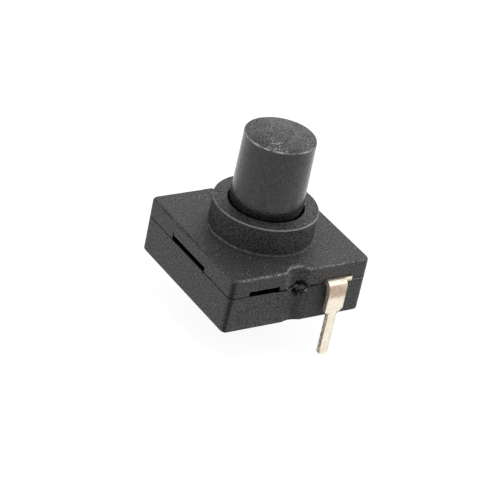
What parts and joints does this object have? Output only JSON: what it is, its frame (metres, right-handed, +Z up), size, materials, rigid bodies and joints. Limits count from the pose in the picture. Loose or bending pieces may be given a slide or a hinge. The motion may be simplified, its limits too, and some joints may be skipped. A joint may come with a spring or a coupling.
{
  "type": "self-locking push button switch",
  "caption": "Square board-mounted latching push button switch with a round collar, a tall round button and two bent solder pins.",
  "frame": {"origin": "centre of the base's underside, the face that sits on the board", "axes": "+Z up along the button, -Y towards the front terminal"},
  "size_m": [0.012, 0.0134, 0.0156],
  "materials": {
    "case_plastic": "fine eroded mould texture",
    "button_plastic": "smooth satin, scuffed on top",
    "rotor_plastic": "natural nylon",
    "bridge_bronze": "bare rolled strip",
    "contact_silver": "bright rivet",
    "spring_steel": "drawn wire",
    "tinned_brass": "dull tin plating"
  },
  "bodies": {
    "housing": {"base": "case_plastic", "cover": "case_plastic", "terminal_front": "tinned_brass", "terminal_back": "tinned_brass", "fixed_contact_front": "contact_silver", "fixed_contact_back": "contact_silver", "return_spring": "spring_steel"},
    "button": {"push_button": "button_plastic"},
    "bridge": {"contact_bridge": "bridge_bronze", "moving_contact_front": "contact_silver", "moving_contact_back": "contact_silver"},
    "rotor": {"ratchet_rotor": "rotor_plastic"}
  },
  "joints": [
    {"name": "button_press", "type": "slide", "parent": "housing", "child": "button", "axis": [0, 0, -1], "range_m": [0, 0.0024], "stiffness_N_per_m": 1250},
    {"name": "bridge_slide", "type": "slide", "parent": "housing", "child": "bridge", "axis": [0, 0, -1], "range_m": [0, 0.002], "deforming": ["return_spring"]},
    {"name": "rotor_turn", "type": "hinge", "parent": "bridge", "child": "rotor", "pos_m": [0, 0, 0.0036], "axis": [0, 0, 1], "range_deg": [0, 15]}
  ],
  "couplings": [
    {"joint": "bridge_slide", "follows": "button_press", "ratio": 0.83333},
    {"joint": "rotor_turn", "follows": "button_press", "rad_per_m": 109}
  ]
}
